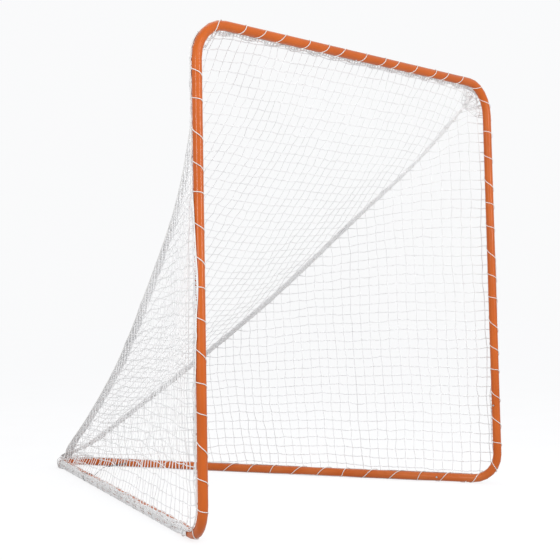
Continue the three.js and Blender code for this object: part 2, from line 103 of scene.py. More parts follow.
# Frame corners, from the snap buttons, which sit a fixed way out from the tube axes.
def middle(node):
    low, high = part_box(node)
    return np.array((low + high) / 2)


def unit(v):
    v = np.asarray(v, float)
    return v / np.linalg.norm(v, axis=-1, keepdims=True)


def run_along(points):
    """Each point's distance along a path from its first point."""
    return np.concatenate([[0], np.cumsum(np.linalg.norm(np.diff(points, axis=0), axis=1))])


def points_at(distance, run, curve):
    """Points of a curve at distances along it, where run holds each given point's own distance."""
    return np.stack([np.interp(distance, run, curve[:, k]) for k in range(3)], -1)


UP = np.array([0.0, 0.0, 1.0])
BACK = np.array([0.0, 1.0, 0.0])
front_button = middle("right_front_rail_snap_button")
rear_button = middle("right_rear_rail_snap_button")
RAIL = unit(rear_button - front_button)
RAIL_OUT = np.cross(RAIL, UP)
mouth_y = middle("crossbar_snap_button")[1]
bar_z = middle("crossbar_snap_button")[2] + BUTTON_MIDDLE
on_axis = front_button + RAIL_OUT * BUTTON_MIDDLE
FOOT = on_axis + RAIL * (mouth_y - on_axis[1]) / RAIL[1]
MEETING = on_axis - RAIL * on_axis[0] / RAIL[0]
POST_X, RAIL_Z = FOOT[0], FOOT[2]
RAIL_LENGTH = np.linalg.norm(MEETING - FOOT)


def handed(v, side):
    return np.asarray(v) * (side, 1, 1)


# Camera, at the photograph's angle.
def aim(yaw, pitch, roll):
    yaw, pitch, roll = map(math.radians, (yaw, pitch, roll))
    ahead = Vector((math.sin(yaw) * math.cos(pitch), math.cos(yaw) * math.cos(pitch), math.sin(pitch)))
    right = Vector((math.cos(yaw), -math.sin(yaw), 0))
    up = right.cross(ahead)
    x = math.cos(roll) * right + math.sin(roll) * up
    y = math.cos(roll) * up - math.sin(roll) * right
    return Matrix((x, y, -ahead)).transposed().to_4x4()


camera = bpy.data.objects.new("camera", bpy.data.cameras.new("camera"))
bpy.context.scene.collection.objects.link(camera)
camera.matrix_world = Matrix.Translation((-3.6145, mouth_y - 2.9418, 0.8121)) @ aim(43.673, 3.794, -0.894)
camera.data.lens = 71.64
camera.data.shift_x, camera.data.shift_y = 0.0982, -0.0714
camera.data.clip_end = 200
bpy.context.scene.camera = camera


# Materials.
class Nodes:
    """A short way to write a node tree: each call makes a node and returns its first output."""

    def __init__(self, name):
        self.material = bpy.data.materials.new(name)
        self.material.use_nodes = True
        self.tree = self.material.node_tree
        self.shader = self.tree.nodes["Principled BSDF"]

    def __call__(self, kind, out=0, **settings):
        node = self.tree.nodes.new("ShaderNode" + kind)
        inputs = settings.pop("inputs", {})
        for key, value in settings.items():
            setattr(node, key, value)
        for key, value in inputs.items():
            self.put(node.inputs[key], value)
        return node.outputs[out]

    def put(self, socket, value):
        if isinstance(value, bpy.types.NodeSocket):
            self.tree.links.new(value, socket)
        else:
            socket.default_value = value

    def set(self, **values):
        for key, value in values.items():
            self.put(self.shader.inputs[key.replace("_", " ")], value)

    def noise(self, where, scale, detail=3.0, roughness=0.55):
        inputs = {"Vector": where, "Scale": scale, "Detail": detail, "Roughness": roughness}
        return self("TexNoise", inputs=inputs)

    def ramp(self, value, stops):
        out = self("ValToRGB", inputs={"Fac": value})
        band = out.node.color_ramp
        for at, colour in stops[2:]:
            band.elements.new(at)
        for element, (at, colour) in zip(band.elements, sorted(stops)):
            element.position, element.color = at, (*colour, 1)
        return out

    def grey(self, value, low, high, start=0.0, end=1.0):
        return self("MapRange", inputs={0: value, 1: start, 2: end, 3: low, 4: high})

    def bump(self, height, strength, distance):
        self.put(
            self.shader.inputs["Normal"],
            self("Bump", inputs={"Height": height, "Strength": strength, "Distance": distance}),
        )

    def mix(self, share, a, b, blend="MIX"):
        return self("MixRGB", blend_type=blend, inputs={0: share, 1: a, 2: b})


def position(n):
    return n("TexCoord", out=3)


def powder_coat():
    n = Nodes("powder_coat")
    here = position(n)
    cloud = n.noise(here, 7, 4)
    base = n.ramp(cloud, [(0.3, (0.50, 0.094, 0.006)), (0.7, (0.57, 0.115, 0.008))])
    scuffs = n.noise(n("Mapping", inputs={"Vector": here, "Scale": (1, 1, 0.12)}), 160, 6, 0.7)
    worn = n.grey(scuffs, 0, 0.5, 0.66, 0.74)
    height = n("SeparateXYZ", out=2, inputs={0: here})
    low = n.grey(height, 1, 0, 0.0, 0.12)
    dusty = n("Math", operation="MULTIPLY", inputs={0: low, 1: n.grey(cloud, 0.0, 0.35, 0.35, 0.75)})
    colour = n.mix(worn, base, (0.36, 0.075, 0.012, 1))
    colour = n.mix(dusty, colour, (0.42, 0.17, 0.07, 1))
    peel = n.noise(here, 520, 2)
    roughness = n.grey(cloud, 0.30, 0.42, 0.3, 0.7)
    n.set(Base_Color=colour, Roughness=roughness, Coat_Weight=0.3, Coat_Roughness=0.15)
    n.shader.inputs["Specular IOR Level"].default_value = 0.22
    n.bump(peel, 0.08, 0.0004)
    return n.material


def bright_steel():
    n = Nodes("bright_steel")
    here = position(n)
    grain = n.noise(n("Mapping", inputs={"Vector": here, "Scale": (1, 1, 9)}), 700, 4)
    n.set(
        Base_Color=n.ramp(n.noise(here, 260, 3), [(0.35, (0.50, 0.50, 0.51)), (0.65, (0.68, 0.68, 0.67))]),
        Metallic=1.0,
        Roughness=n.grey(grain, 0.24, 0.46, 0.35, 0.65),
    )
    n.bump(grain, 0.15, 0.0002)
    return n.material


def dark_steel():
    n = Nodes("dark_steel")
    here = position(n)
    rust = n.noise(here, 150, 5, 0.65)
    stops = [(0.3, (0.10, 0.10, 0.11)), (0.62, (0.20, 0.20, 0.21)), (0.8, (0.16, 0.09, 0.05))]
    n.set(
        Base_Color=n.ramp(rust, stops),
        Metallic=0.9,
        Roughness=n.grey(rust, 0.34, 0.62, 0.35, 0.75),
    )
    n.bump(n.noise(here, 900, 3), 0.2, 0.0003)
    return n.material


def twine(name, pale, dull, turns, plies, depth):
    """Twisted cord. Its UV map runs in metres along the cord, and once round it."""
    n = Nodes(name)
    here = position(n)
    lengthwise = n("UVMap", uv_map="cord")
    u = n("SeparateXYZ", out=0, inputs={0: lengthwise})
    v = n("SeparateXYZ", out=1, inputs={0: lengthwise})
    twist = n("Math", operation="MULTIPLY", inputs={0: u, 1: float(turns)})
    phase = n("Math", operation="ADD", inputs={0: twist, 1: v})
    rounds = n("Math", operation="MULTIPLY", inputs={0: phase, 1: 2 * math.pi * plies})
    wave = n("Math", operation="SINE", inputs={0: rounds})
    ply = n.grey(wave, 0, 1, -1, 1)
    fibre = n.noise(here, 2600, 3, 0.7)
    soil = n.noise(here, 5.5, 5, 0.6)
    colour = n.ramp(soil, [(0.25, dull), (0.62, pale)])
    # Painted shade: the colour darkens towards 0.75 of the dull tone in the grooves between the plies,
    # where the ply wave is low.
    colour = n.mix(n.grey(ply, 0.30, 0.0, 0.0, 0.45), colour, tuple(0.75 * c for c in dull) + (1,))
    colour = n.mix(n.grey(fibre, 0.0, 0.16), colour, (1, 1, 1, 1))
    n.set(Base_Color=colour, Roughness=n.grey(fibre, 0.72, 0.95), Sheen_Weight=0.35, Sheen_Roughness=0.5)
    n.bump(n("Math", operation="ADD", inputs={0: ply, 1: n.grey(fibre, 0, 0.35)}), 0.9, depth)
    return n.material


WHITE, DULL = (0.93, 0.93, 0.935), (0.86, 0.86, 0.87)
COAT, BRIGHT, DARK = powder_coat(), bright_steel(), dark_steel()
NET = twine("net_twine", WHITE, DULL, 90, 2, 0.0005)
CORD = twine("white_cord", (0.88, 0.875, 0.86), (0.77, 0.76, 0.745), 110, 3, 0.0005)
WIRE = twine("tie_wire", (0.20, 0.20, 0.21), (0.11, 0.11, 0.12), 160, 4, 0.0004)
wire_shader = WIRE.node_tree.nodes["Principled BSDF"]
wire_shader.inputs["Sheen Weight"].default_value = 0
wire_shader.inputs["Metallic"].default_value = 0.85


# Cords: one mesh that sweeps a round section along each of many paths.
FLOOR_GAP = 0.0002  # no cord lies lower than this


def sweep(name, paths, radius, sides, material, replaces=()):
    points, faces, uvs = [], [], []
    start = 0
    turn = np.linspace(0, 2 * math.pi, sides, endpoint=False)
    cosine, sine = np.cos(turn)[None, :, None], np.sin(turn)[None, :, None]
    for k, path in enumerate(paths):
        p = np.asarray(path, float)
        thick = np.broadcast_to(radius[k] if isinstance(radius, list) else radius, len(p))
        way = unit(np.gradient(p, axis=0) + 1e-12)
        side = np.empty_like(p)
        last = np.cross(way[0], UP if abs(way[0][2]) < 0.9 else BACK)
        for i, w in enumerate(way):
            last = last - w * (last @ w)
            last = last / np.linalg.norm(last)
            side[i] = last
        third = np.cross(way, side)
        ring = p[:, None] + thick[:, None, None] * (cosine * side[:, None] + sine * third[:, None])
        points.append(ring.reshape(-1, 3))
        run = run_along(p)
        i, j = np.meshgrid(np.arange(len(p) - 1), np.arange(sides), indexing="ij")
        a, b = start + i * sides + j, start + i * sides + (j + 1) % sides
        quads = np.stack([a, b, b + sides, a + sides], -1).reshape(-1, 4)
        faces.append(quads)
        u0, u1, v0, v1 = run[i], run[i + 1], j / sides, (j + 1) / sides
        uvs.append(np.stack([u0, v0, u0, v1, u1, v1, u1, v0], -1).reshape(-1, 2))
        start += len(p) * sides
    points = np.concatenate(points)
    points[:, 2] = np.maximum(points[:, 2], FLOOR_GAP)
    quads = np.concatenate(faces)
    caps, first = [], 0
    for path in paths:
        n = len(path) * sides
        caps.append(list(range(first, first + sides))[::-1])
        caps.append(list(range(first + n - sides, first + n)))
        first += n
    return mesh_piece(name, points, quads, np.concatenate(uvs), caps, material, replaces)


def mesh_piece(name, points, quads, uv, caps, material, replaces):
    mesh = bpy.data.meshes.new(name)
    loops = np.concatenate([quads.ravel(), np.array([v for c in caps for v in c], int)])
    sizes = np.array([4] * len(quads) + [len(c) for c in caps])
    starts = np.concatenate([[0], np.cumsum(sizes)[:-1]])
    mesh.vertices.add(len(points))
    mesh.vertices.foreach_set("co", points.astype(np.float32).ravel())
    mesh.loops.add(len(loops))
    mesh.loops.foreach_set("vertex_index", loops.astype(np.int32))
    mesh.polygons.add(len(sizes))
    mesh.polygons.foreach_set("loop_start", starts.astype(np.int32))
    mesh.polygons.foreach_set("use_smooth", np.ones(len(sizes), bool))
    layer = mesh.uv_layers.new(name="cord")
    full = np.zeros((len(loops), 2), np.float32)
    full[: len(uv)] = uv
    layer.data.foreach_set("uv", full.ravel())
    mesh.update(calc_edges=True)
    mesh.validate()
    piece = bpy.data.objects.new(name, mesh)
    bpy.context.scene.collection.objects.link(piece)
    mesh.materials.append(material)
    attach(piece, "goal")
    if replaces:
        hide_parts(*replaces)
    return piece


# The tube line, from the rear of the base round the mouth and back, with a way out of the goal
# and a way round at each point.
def arc(before, corner, after, radius, steps=24):
    back, ahead = unit(before - corner), unit(after - corner)
    half = math.acos(back @ ahead) / 2
    mid = unit(back + ahead)
    centre = corner + mid * radius / math.sin(half)
    angles = np.linspace(half - math.pi / 2, math.pi / 2 - half, steps + 1)[:, None]
    return centre - mid * radius * np.cos(angles) + unit(ahead - back) * radius * np.sin(angles)


LINE_STEP = 0.004


def tube_line():
    foot, shoulder = FOOT * (-1, 1, 1), np.array([-POST_X, mouth_y, bar_z])
    top = np.array([0, mouth_y, bar_z])
    rear = arc(FOOT, MEETING, foot, REAR_BEND, 48)[24:]
    half = np.concatenate([
        rear,
        arc(MEETING, foot, shoulder, FOOT_BEND),
        arc(foot, shoulder, top, TOP_BEND),
        [top],
    ])
    other = half[:-1][::-1] * (-1, 1, 1)
    corners = np.concatenate([half, other])
    run = run_along(corners)
    at = np.linspace(0, run[-1], int(run[-1] / LINE_STEP))
    return at, points_at(at, run, corners)


LINE_AT, LINE = tube_line()
LENGTH = LINE_AT[-1]
LINE_WAY = unit(np.gradient(LINE, axis=0))
# How much of the way out belongs to the mouth (1) rather than the base (0).
rise = np.clip((LINE[:, 2] - RAIL_Z) / FOOT_BEND, 0, 1)
UPRIGHT = rise * rise * (3 - 2 * rise)


def way_out():
    """The way out of the goal at each point of the line, square to the line."""
    hand = np.where(LINE[:, :1] < 0, -1.0, 1.0) * (1, 0, 0)
    behind = unit(np.cross(LINE_WAY, UP) + 1e-12)
    at_rear = (LINE[:, 1:2] > MEETING[1] - 3 * REAR_BEND) & (UPRIGHT[:, None] == 0)
    base_out = np.where(at_rear, behind, RAIL_OUT * (0, 1, 1) + RAIL_OUT[0] * hand)
    mouth_out = np.where(LINE[:, 2:] > bar_z / 2, np.cross(LINE_WAY, BACK), hand)
    mouth_share = UPRIGHT[:, None]
    out = (1 - mouth_share) * base_out + mouth_share * mouth_out
    out -= LINE_WAY * np.sum(out * LINE_WAY, 1, keepdims=True)
    return unit(out)


def rope_angle():
    """How far round the tube the border rope lies, from the way out, at each point of the line."""
    bar_share = np.clip((POST_X - np.abs(LINE[:, 0])) / TOP_BEND, 0, 1) * (LINE[:, 2] > bar_z / 2)
    from_pull = np.minimum(1, np.abs(LINE[:, 2] - ROPE_PULL_HEIGHT) / ROPE_PULL_REACH)
    pull = 1 + np.cos(math.pi * from_pull)
    return (
        RAIL_ROPE_ANGLE
        + (POST_ROPE_ANGLE - RAIL_ROPE_ANGLE) * UPRIGHT
        + (BAR_ROPE_ANGLE - POST_ROPE_ANGLE) * bar_share
        - ROPE_PULL * pull / 2
    )


LINE_OUT = way_out()
LINE_ROUND = np.cross(LINE_OUT, LINE_WAY)
ROPE_ANGLE = rope_angle()


def line_at(distance):
    """Tube axis, way out, way round and rope angle at distances along the tube line."""
    curves = [points_at(distance, LINE_AT, curve) for curve in (LINE, LINE_OUT, LINE_ROUND)]
    return [*curves, np.interp(distance, LINE_AT, ROPE_ANGLE)]


def beside(distance, angle, radius):
    point, out, round_way, _ = line_at(distance)
    angle, radius = np.broadcast_to(angle, len(point)), np.broadcast_to(radius, len(point))
    return point + radius[:, None] * (np.cos(angle)[:, None] * out + np.sin(angle)[:, None] * round_way)


def span_of(test):
    """The distances along the tube line where a test of its points first and last holds."""
    held = LINE_AT[test]
    return held[0], held[-1]


left = LINE[:, 0] < 0
posts = (LINE[:, 2] > RAIL_Z + FOOT_BEND) & (LINE[:, 2] < bar_z - TOP_BEND)
POST = {-1: span_of(left & posts), 1: span_of(~left & posts)}
rails = (LINE[:, 2] < RAIL_Z + 0.0005) & (LINE[:, 1] < MEETING[1] - REAR_BEND / abs(RAIL[0]) * 0.9)
RAILS = {-1: span_of(left & rails), 1: span_of(~left & rails)}
ROPE_REACH = TUBE + 0.0004 + ROPE
NET_REACH = ROPE_REACH + 0.002  # where the net's strands start, on the border rope


# Border rope, and the lacing that binds it to the tube.
def wavy(x, *waves):
    """A smooth uneven value: the sum of size * sin(rate * x + start)."""
    return sum(size * np.sin(rate * x + start) for size, rate, start in waves)


def border_rope():
    at = np.arange(0.008, LENGTH - 0.008, 0.008)
    angle = line_at(at)[3] + wavy(at, (0.10, 9.0, 0.3), (0.08, 23.0, 1.1))
    reach = ROPE_REACH + np.maximum(0, wavy(at, (0.0006, 17, 0), (0.0006, 41, 1)))
    path = beside(at, angle, reach)
    sweep("border_rope", [path], ROPE, 10, CORD, replaces=["net_border_rope"])


def lacing_reach(angle, rope_angle, padding):
    """Cord centre from the tube axis: round the tube, and straight on over the rope."""
    snug = TUBE + LACING + LACING_GAP + padding
    peak = ROPE_REACH + ROPE + LACING + 0.0002
    lean = math.acos(TUBE / peak)
    off = np.sqrt(((angle - rope_angle + math.pi) % (2 * math.pi) - math.pi) ** 2 + 0.04)
    over = snug / np.cos(np.clip(lean - off, 0, lean))
    return np.maximum(snug, np.minimum(peak, over))


def lacing(name, start, end, padding=0.0, pitch=LACING_PITCH, lead=0.0, front=0.0, lift=0.0):
    turns = np.arange(start / pitch, end / pitch, 1 / TURN_STEPS)
    angle = 2 * math.pi * turns
    uneven_turns = turns + wavy(turns, (0.10, 1.9, 0.5), (0.07, 4.3, 2.0))
    at = lift + pitch * (uneven_turns - lead * np.sin(angle - front) / (2 * math.pi))
    at = np.clip(at, 0.01, LENGTH - 0.01)
    reach = lacing_reach(angle, line_at(at)[3], padding)
    path = beside(at, angle, reach)
    path[:, 2] = np.maximum(path[:, 2], LACING * 0.75)
    node = name + "_lacing"
    sweep(name + "_lace", [path], LACING, LACING_SIDES, CORD, replaces=[node])


def all_lacing():
    left_rear, left_foot = RAILS[-1][0] + 0.01, RAILS[-1][1] - 0.03
    right_foot, right_rear = RAILS[1][0] + 0.03, RAILS[1][1] - 0.01
    left_top, right_top = POST[-1][1] + 0.02, POST[1][0] - 0.02
    closer = 1 - BAR_LEAD_IN / (right_top - left_top)
    on_post = {"pitch": POST_PITCH, "lead": POST_LEAD}
    on_bar = {"pitch": LACING_PITCH * closer, "lift": right_top * (1 - closer)}
    lacing("left_rail", left_rear, left_foot, SLEEVE_WALL, lift=RAIL_LIFT)
    lacing("left_post", left_foot, left_top - LACE_END, front=LEFT_FRONT, lift=LACE_LIFT, **on_post)
    lacing("crossbar", left_top * closer, right_top * closer, **on_bar)
    lacing("right_post", right_top + LACE_END, right_foot, front=RIGHT_FRONT, **on_post)
    lacing("right_rail", right_foot, right_rear, SLEEVE_WALL)


border_rope()
all_lacing()


# Net surfaces. Each is a grid of points P[i, j], with i towards the rear and j up or across.
def smooth_curve(points, count):
    """A Catmull-Rom curve through points, evenly spread over its spans."""
    p = np.asarray(points, float)
    p = np.concatenate([[2 * p[0] - p[1]], p, [2 * p[-1] - p[-2]]])
    t = np.linspace(0, len(points) - 1 - 1e-9, count)
    i = t.astype(int)
    f = (t - i)[:, None]
    a, b, c, d = p[i], p[i + 1], p[i + 2], p[i + 3]
    return 0.5 * (2 * b + (c - a) * f + (2 * a - 5 * b + 4 * c - d) * f**2 + (3 * b - a - 3 * c + d) * f**3)


U = np.linspace(0, 0.985, 150)
V = np.linspace(0, 1, 90)
CURVE_POINTS = 800
KNOT_SCATTER = 0.0022
SIDE_PILLOW, BACK_PILLOW = 0.025, 0.045
ROW_RISE, ROW_DROOP = 0.014, 0.034


def seam_at(u, side):
    """Where the seam is, in the row frame, by its share from the top corner to the rear."""
    fine = smooth_curve(SEAM, CURVE_POINTS) * (side, 1, 1) + (0, mouth_y, 0)
    return points_at(u, np.linspace(0, 1, CURVE_POINTS), fine)


def side_surface(side):
    rail, out = handed(RAIL, side), handed(RAIL_OUT, side)
    foot = handed(FOOT, side)
    u, v = U[:, None, None], V[None, :, None]
    low = foot + rail * u * (RAIL_LENGTH - 0.06) + out * NET_OFFSET + UP * 0.014
    high = seam_at(U, side)[:, None, :]
    first = seam_at(np.array([0.0]), side)[0]
    height = low[:1, :, 2:] + (first[2] - low[0, 0, 2]) * v
    start = math.atan2(out[1], out[0] * side)
    bend = start + (math.pi / 2 - start) * np.minimum(1, height / (bar_z - TOP_BEND))
    post = np.concatenate([
        foot[0] + side * NET_OFFSET * np.cos(bend),
        mouth_y + NET_OFFSET * np.sin(bend),
        height,
    ], axis=2)
    hugging = post - (low[:1] + (first - low[0, 0]) * v)
    fade = (1 - u) ** 4 * (1 - v**6)
    pillow = SIDE_PILLOW * 16 * u * (1 - u) * v * (1 - v)
    return low + (high - low) * v + hugging * fade - out * pillow


def back_surface():
    u, v = U[:, None, None], V[None, :, None]
    a, b = seam_at(U, -1)[:, None, :], seam_at(U, 1)[:, None, :]
    crown = TOP_BEND * (1 - math.sqrt(0.5)) * (1 - np.abs(2 * v - 1) ** 8)
    sag = BACK_PILLOW * 16 * u * (1 - u) * v * (1 - v)
    return a + (b - a) * v + UP * (crown * (1 - u) ** 4 - sag)


def ripple(a, b, size, shift):
    """A gentle uneven wave over a surface, zero on average."""
    broad = np.sin(5.1 * a + 3.3 * b + shift)
    medium = 0.7 * np.sin(9.7 * a - 6.1 * b + 2 * shift)
    fine = 0.4 * np.sin(17 * a + 13 * b)
    return size * (broad + medium + fine)


def side_net(side, name, node):
    surface = side_surface(side)
    rail, out = handed(RAIL, side), handed(RAIL_OUT, side)
    foot = handed(FOOT, side)
    s, n, z = (surface - foot) @ rail, (surface - foot) @ out, surface[:, :, 2]
    levels = np.arange(RAIL_Z + 0.030, bar_z - 0.05, MESH)
    seam_s, seam_z, seam_n = s[:, -1], z[:, -1], n[:, -1]
    inside = []
    for level in levels:
        under_seam = [i for i in range(len(U)) if z[i, -1] > level]
        at_s = np.array([np.interp(level, z[i], s[i]) for i in under_seam])
        at_n = np.array([np.interp(level, z[i], n[i]) for i in under_seam])
        inside.append((at_s, at_n))
    columns = np.arange(1, int(RAIL_LENGTH / MESH) + 1) * MESH

    def point(at_s, level, at_n):
        return foot + rail * at_s + out * at_n + UP * (level - foot[2])

    def hang(share):
        """How far a row stands above its level, by its share of the way from the post to the seam."""
        return ROW_RISE * math.sin(math.pi * share) - ROW_DROOP * share**2

    jitter = rng.normal(0, KNOT_SCATTER, (len(columns) + 1, len(levels) + 1, 3))
    knots = {}
    for j, level in enumerate(levels):
        at_s, at_n = inside[j]
        for i, c in enumerate(columns):
            if len(at_s) > 3 and at_s[0] + 0.012 < c < at_s[-1] - 0.010:
                off = np.interp(c, at_s, at_n)
                wave = ripple(c, level, 0.005, side)
                drop = 0.006 * math.sin(math.pi * ((c * 2.3) % 1)) + ripple(level, c, 0.002, 1 + side)
                drop -= hang((c - at_s[0]) / (at_s[-1] - at_s[0]))
                knots[i, j] = point(c + ripple(level, c, 0.003, 2), level - drop, off + wave) + jitter[i, j]
    paths = []
    for j, level in enumerate(levels):
        row = [knots[i, j] for i in range(len(columns)) if (i, j) in knots]
        at_s, at_n = inside[j]
        if len(at_s) < 2:
            continue
        end_z = max(level - ROW_DROOP, seam_z[-1])
        end_s, end_n = (np.interp(end_z, seam_z[::-1], a[::-1]) for a in (seam_s, seam_n))
        paths.append([*round_post(side, level), *row, point(end_s, end_z, end_n)])
    for i, c in enumerate(columns):
        line = [knots[i, j] for j in range(len(levels)) if (i, j) in knots]
        if not line:
            continue
        top_z, top_n = np.interp(c, seam_s, seam_z), np.interp(c, seam_s, seam_n)
        top = [point(c, top_z, top_n)] if c < seam_s[-1] else []
        paths.append([rope_beside_rail(side, c), *line, *top])
    knotted(name, paths, list(knots.values()), node)


def round_post(side, level):
    """From the border rope round the post's outer side, to where the net leaves it."""
    climb = level - RAIL_Z - FOOT_BEND
    at = POST[side][0] + climb if side < 0 else POST[side][1] - climb
    rope = line_at(np.array([at]))[3][0]
    angle = np.concatenate([[rope], np.arange(rope + 0.3, NET_LEAVES, 0.3)])
    reach = np.where(angle > rope, TUBE + TWINE + 0.0008, NET_REACH)
    return list(beside(np.full(len(angle), at), angle, reach))


def rope_beside_rail(side, along):
    begin, finish = RAILS[side]
    at = finish - (along - FOOT_BEND) if side < 0 else begin + (along - FOOT_BEND)
    at = np.clip(at, 0.02, LENGTH - 0.02)
    return beside(np.array([at]), RAIL_ROPE_ANGLE, NET_REACH)[0]


def back_net():
    surface = back_surface()
    centre = surface[:, len(V) // 2]
    run = run_along(centre)
    rows = np.arange(0.024, run[-1] - 0.02, MESH)
    half = surface[:, -1, 0]
    sections = []
    for r in rows:
        i = np.interp(r, run, np.arange(len(U)))
        k, f = int(i), i - int(i)
        sections.append(surface[k] * (1 - f) + surface[min(k + 1, len(U) - 1)] * f)
    count = int(POST_X / MESH)
    columns = np.arange(-count, count + 1) * MESH
    slope = unit(np.array([0, -0.8, -0.6]))
    jitter = rng.normal(0, KNOT_SCATTER, (len(columns), len(rows), 3))
    knots = {}
    for j, (r, line) in enumerate(zip(rows, sections)):
        for i, c in enumerate(columns):
            if abs(c) < line[-1, 0] - 0.010:
                p = np.array([c, *(np.interp(c, line[:, 0], line[:, k]) for k in (1, 2))])
                sway = (ripple(r, c, 0.003, 1), 0, 0)
                knots[i, j] = p + slope * ripple(c, r, 0.006, 4) + sway + jitter[i, j]
    paths = []
    for j, section in enumerate(sections):
        row = [knots[i, j] for i in range(len(columns)) if (i, j) in knots]
        if row:
            paths.append([section[0], *row, section[-1]])
    for i, c in enumerate(columns):
        line = [knots[i, j] for j in range(len(rows)) if (i, j) in knots]
        if not line:
            continue
        at = LENGTH / 2 + c
        begin = beside(np.array([at]), line_at(np.array([at]))[3], NET_REACH)[0]
        k = min(int(np.argmin(np.abs(half - abs(c)) + (half < 0))), len(U) - 1)
        end = surface[k, 0 if c < 0 else -1]
        paths.append([begin, *line, end] if abs(c) > 0.02 else [begin, *line])
    knotted("back_net_mesh", paths, list(knots.values()), "back_net")


# A knot's lump: how far its points stand from the knot along the twine, and how thick it is there.
KNOT_REACH = (-0.0030, -0.0012, 0.0012, 0.0030)
KNOT_RADIUS = np.array([0.0007, 0.0024, 0.0024, 0.0007])
TWINE_DIP = 0.045  # of the gap between two knots


def knotted(name, paths, knots, node):
    """Twine along each path, which dips a little between knots, and a lump at each knot."""
    fine = []
    for path in paths:
        p = np.array(path)
        mids = (p[1:] + p[:-1]) / 2
        gap = np.linalg.norm(p[1:] - p[:-1], axis=1)
        mids = mids - UP * (TWINE_DIP * gap)[:, None] * rng.uniform(0.2, 1.4, (len(mids), 1))
        woven = np.empty((2 * len(p) - 1, 3))
        woven[::2], woven[1::2] = p, mids
        fine.append(woven)
    lumps = []
    for k in knots:
        way = unit(rng.normal(size=3) * (1, 1, 0.4))
        lumps.append([k + way * reach for reach in KNOT_REACH])
    radius = [TWINE] * len(fine) + [KNOT_RADIUS] * len(lumps)
    sweep(name, fine + lumps, radius, TWINE_SIDES, NET, replaces=[node])


side_net(-1, "left_net_mesh", "left_side_net")
side_net(1, "right_net_mesh", "right_side_net")
back_net()


# Seams: the two panels' edges rolled together and whipped with cord.
SEAM_STRANDS = 15
SEAM_TWINE = 0.0021
SEAM_CORD = 0.003
CROSS_PITCH = 0.0075
CROSS_LEAN = 0.012
CROSS_RISE = 0.0028
WHIP_PITCH = 0.05
WHIP_STEP = 0.004
WHIP_HEIGHT = 0.0075


def seam(side, name, node):
    u = np.linspace(0.004, 1, 300)
    route = smooth_curve(SEAM + SEAM_TAIL, CURVE_POINTS) * (side, 1, 1) + (0, mouth_y, 0)
    core = points_at(u, np.linspace(0, 1, CURVE_POINTS), route)
    way = unit(np.gradient(core, axis=0))
    middle_way = np.array([-side, 0.0, 0.0])
    inward = unit(middle_way - way * (way @ middle_way)[:, None])
    face = np.cross(way, inward)
    run = run_along(core)
    width = 0.018 + 0.026 * np.minimum(1, u * 2.5) - 0.024 * np.clip((u - 0.82) / 0.18, 0, 1)
    strands = []
    for k in range(SEAM_STRANDS):
        sway = wavy(run, (0.0022, 21 + 3 * k, k), (0.0016, 47 - 2 * k, 2 * k))
        place = (k / (SEAM_STRANDS - 1)) * width + sway
        lift = wavy(run, (0.0020, 17 + 5 * k, 3 * k), (0.0012, 53 + k, k)) * (0.5 + 0.5 * (k % 2))
        strands.append(core + inward * place[:, None] + face * lift[:, None])
    cross = []
    for k, at in enumerate(np.arange(0.01, run[-1] - 0.03, CROSS_PITCH)):
        t = np.linspace(0, 1, 7)
        turned = 1 if k % 2 else -1
        along = at + turned * CROSS_LEAN * t
        base, across, off = (points_at(along, run, curve) for curve in (core, inward, face))
        wide = np.interp(at, run, width)
        rise = CROSS_RISE * np.sin(math.pi * t) * turned
        cross.append(base + across * (t * wide)[:, None] + off * rise[:, None])
    sweep(name + "_gather", strands + cross, SEAM_TWINE, TWINE_SIDES, NET)
    dense = np.linspace(0, run[-1], int(run[-1] / WHIP_STEP))
    turn = dense / WHIP_PITCH * 2 * math.pi
    base, across, off = (points_at(dense, run, curve) for curve in (core, inward, face))
    place = np.interp(dense, run, width) * (0.28 + 0.33 * np.cos(turn))
    whip = base + across * place[:, None] + off * (WHIP_HEIGHT * np.sin(turn))[:, None]
    radii = [SEAM_CORD, LACING]
    sweep(name + "_cord", [core, whip], radii, LACING_SIDES, CORD, replaces=[node])


seam(-1, "left_seam", "left_seam_cord")
seam(1, "right_seam", "right_seam_cord")


CORNER_REACH = 0.12
CORNER_STRANDS = 12


def corner_gather(side, name):
    """Net drawn together from the rope round a top corner to the start of the seam."""
    half_bend = TOP_BEND * math.pi / 4
    middle_at = POST[side][1] + half_bend if side < 0 else POST[side][0] - half_bend
    at = middle_at + np.linspace(-CORNER_REACH, CORNER_REACH, CORNER_STRANDS)
    rope = beside(at, line_at(at)[3], NET_REACH)
    start = seam_at(np.array([0.03]), side)[0]
    t = np.linspace(0, 1, 13)[:, None]
    fan = []
    for k, end in enumerate(rope):
        slack = UP * -0.10 * np.linalg.norm(end - start) * t * (1 - t) * (1 + (k % 3))
        sway = BACK * 0.012 * np.sin(5 * t + 2.1 * k) * t * (1 - t) * 4
        fan.append(start + (end - start) * t**1.15 + slack + sway)
    cross = []
    for row in range(3, 12, 2):
        bend = np.array([strand[row] for strand in fan])
        cross.append(bend + np.array([0, 0.002, 0.002]) * np.sin(3.1 * np.arange(len(bend)) + row)[:, None])
    sweep(name, fan + cross, TWINE, TWINE_SIDES, NET)


corner_gather(-1, "left_corner_gather")
corner_gather(1, "right_corner_gather")


